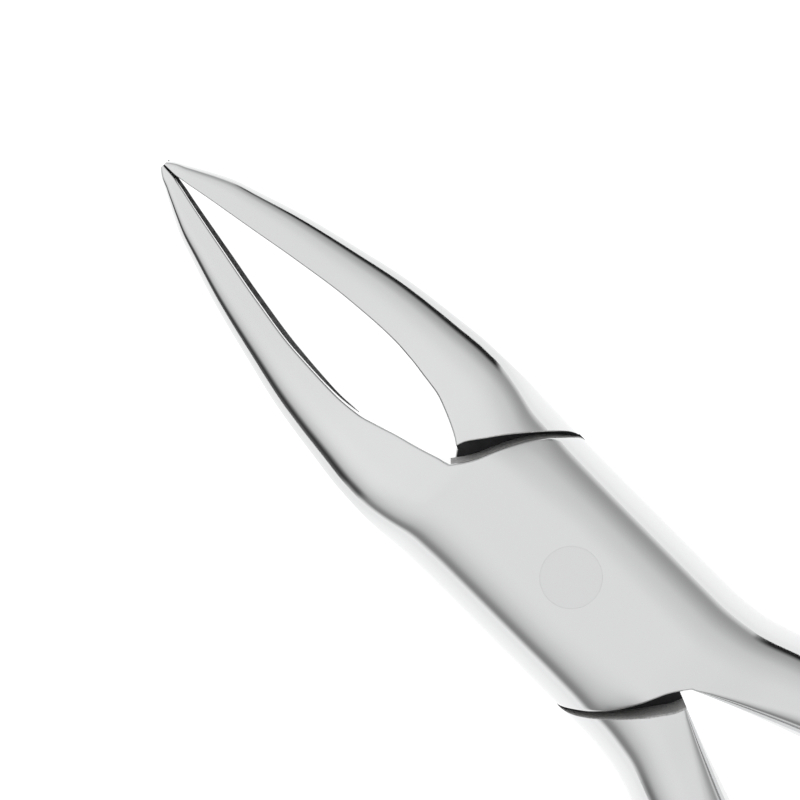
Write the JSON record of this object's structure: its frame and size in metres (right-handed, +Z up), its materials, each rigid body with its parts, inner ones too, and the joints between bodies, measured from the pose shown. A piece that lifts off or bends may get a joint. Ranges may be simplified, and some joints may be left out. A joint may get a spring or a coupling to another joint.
{
  "type": "dental extraction forceps",
  "caption": "Straight extraction forceps of polished steel: crossed halves with spoon-shaped beaks, a flush riveted lap joint and long bowed handles with cross-cut grips.",
  "frame": {"origin": "centre of the bounding box at the height of the surface the forceps lie on, with the beaks closed", "axes": "+X along the instrument from the beak tips to the handle ends, +Z up along the hinge axis, +Y to the side of the handle of top_half"},
  "size_m": [0.1756, 0.0408, 0.0104],
  "materials": {
    "polished_steel": "polished stainless steel with fine hand-polishing lines",
    "ground_rivet": "ground flush with the joint face and polished"
  },
  "bodies": {
    "top_half_body": {"top_half": "polished_steel", "joint_rivet": "ground_rivet"},
    "bottom_half_body": {"bottom_half": "polished_steel"}
  },
  "joints": [
    {"name": "lap_joint", "type": "hinge", "parent": "top_half_body", "child": "bottom_half_body", "pos_m": [-0.04635, 0, 0.0052], "axis": [0, 0, -1], "range_deg": [0, 40]}
  ]
}
